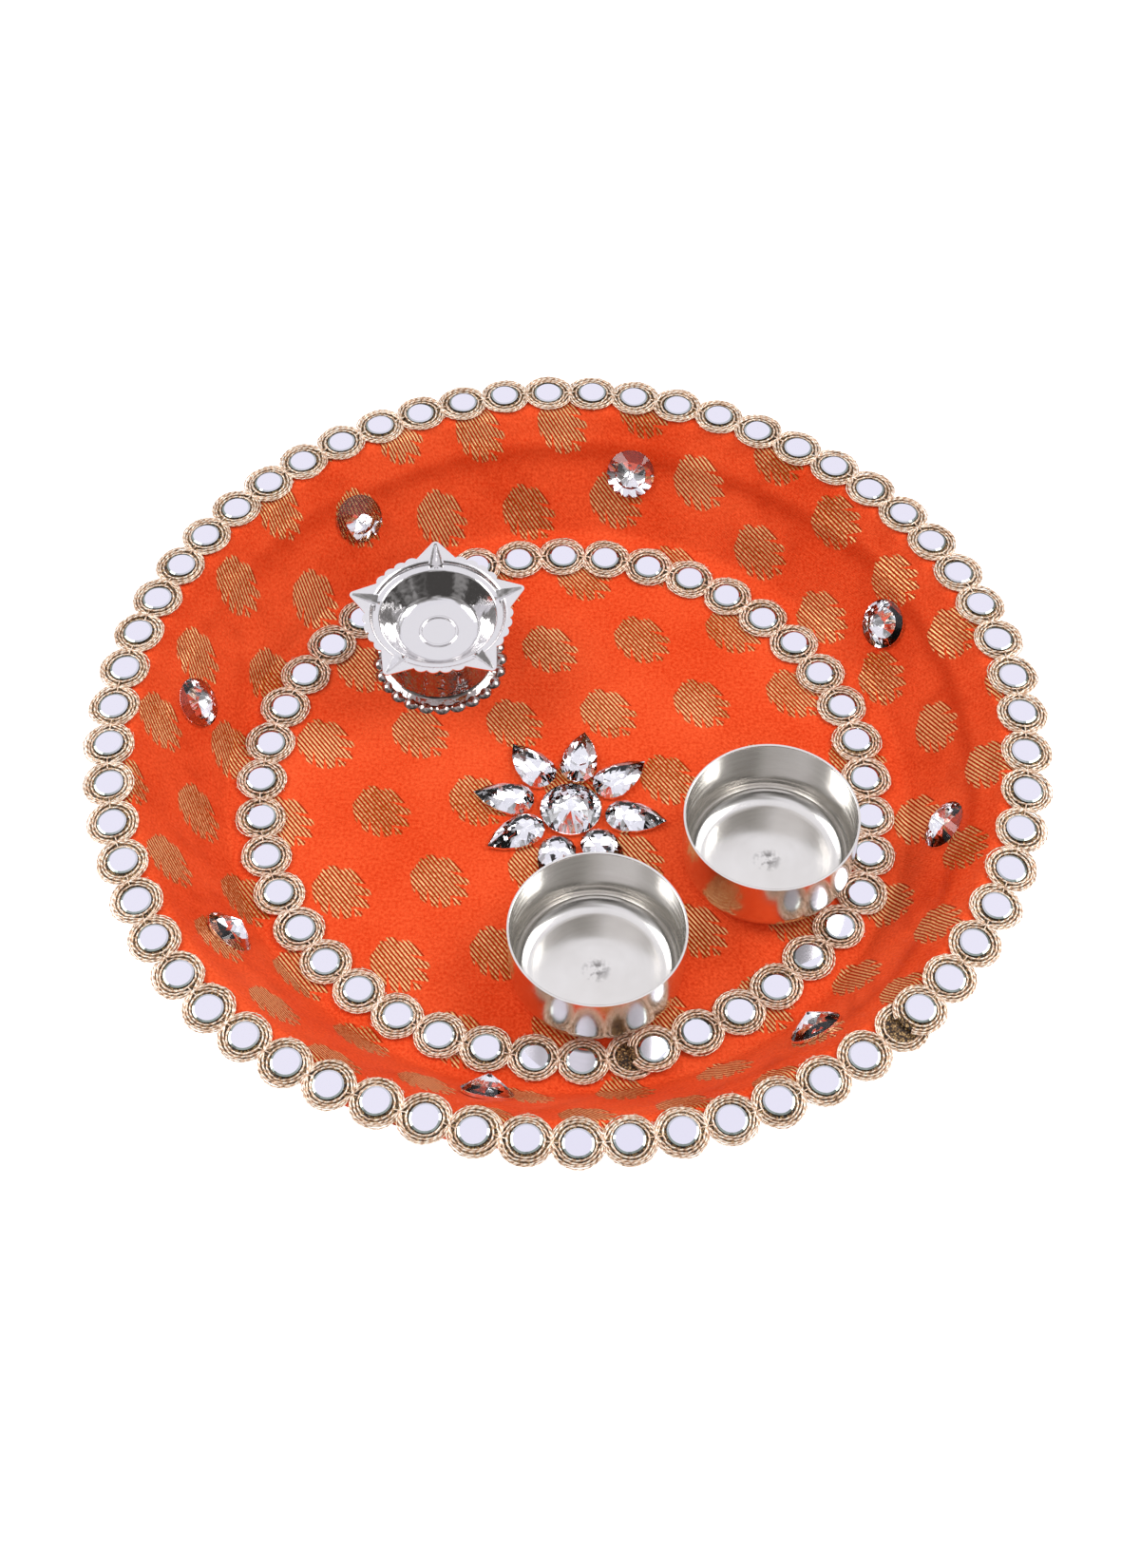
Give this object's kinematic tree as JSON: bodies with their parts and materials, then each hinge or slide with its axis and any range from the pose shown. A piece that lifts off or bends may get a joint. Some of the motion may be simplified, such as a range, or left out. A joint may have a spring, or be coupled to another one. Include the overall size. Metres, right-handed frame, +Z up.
{
  "type": "puja thali",
  "caption": "Round dished steel plate lined with brocade and mirror lace, set with faceted stones, carrying loose small cups and a spouted oil lamp.",
  "frame": {"origin": "centre of the plate's underside, on the surface that it stands on", "axes": "+Z up out of the plate, +Y away from the viewer of the picture, +X to the viewer's right"},
  "size_m": [0.3029, 0.3036, 0.0357],
  "materials": {
    "plate_steel": "spun stainless steel, satin",
    "brocade": "orange-red satin brocade with gold leaf motifs",
    "lace_mesh": "gold-tan net tape",
    "zari_cord": "twisted gold-tan metallic cord",
    "lace_mirror": "small glass mirror discs with polished bevel",
    "crystal": "clear faceted stones with silver foil back",
    "clear_glue": "clear set hot glue",
    "katori_steel": "polished stainless steel, brushed inside",
    "diya_silver": "bright pressed silver-plated sheet"
  },
  "bodies": {
    "plate": {"plate_base": "plate_steel", "fabric_lining": "brocade", "rim_trim_tape": "lace_mesh", "rim_trim_cord": "zari_cord", "rim_trim_mirrors": "lace_mirror", "base_trim_tape": "lace_mesh", "base_trim_cord": "zari_cord", "base_trim_mirrors": "lace_mirror", "wall_stone_1": "crystal", "wall_stone_2": "crystal", "wall_stone_3": "crystal", "wall_stone_4": "crystal", "wall_stone_5": "crystal", "wall_stone_6": "crystal", "wall_stone_7": "crystal", "wall_stone_8": "crystal", "wall_stone_glue": "clear_glue", "flower_centre_stone": "crystal", "flower_petal_1": "crystal", "flower_petal_2": "crystal", "flower_petal_3": "crystal", "flower_petal_4": "crystal", "flower_petal_5": "crystal", "flower_petal_6": "crystal", "flower_petal_7": "crystal", "flower_petal_8": "crystal", "flower_glue": "clear_glue"},
    "katori_front": {"katori_front": "katori_steel"},
    "katori_right": {"katori_right": "katori_steel"},
    "diya": {"diya_foot": "diya_silver", "diya_bowl": "diya_silver"}
  },
  "joints": [
    {"name": "katori_front_lift", "type": "slide", "parent": "plate", "child": "katori_front", "axis": [0, 0, 1], "range_m": [0, 0.07]},
    {"name": "katori_right_lift", "type": "slide", "parent": "plate", "child": "katori_right", "axis": [0, 0, 1], "range_m": [0, 0.07]},
    {"name": "diya_lift", "type": "slide", "parent": "plate", "child": "diya", "axis": [0, 0, 1], "range_m": [0, 0.07]}
  ]
}
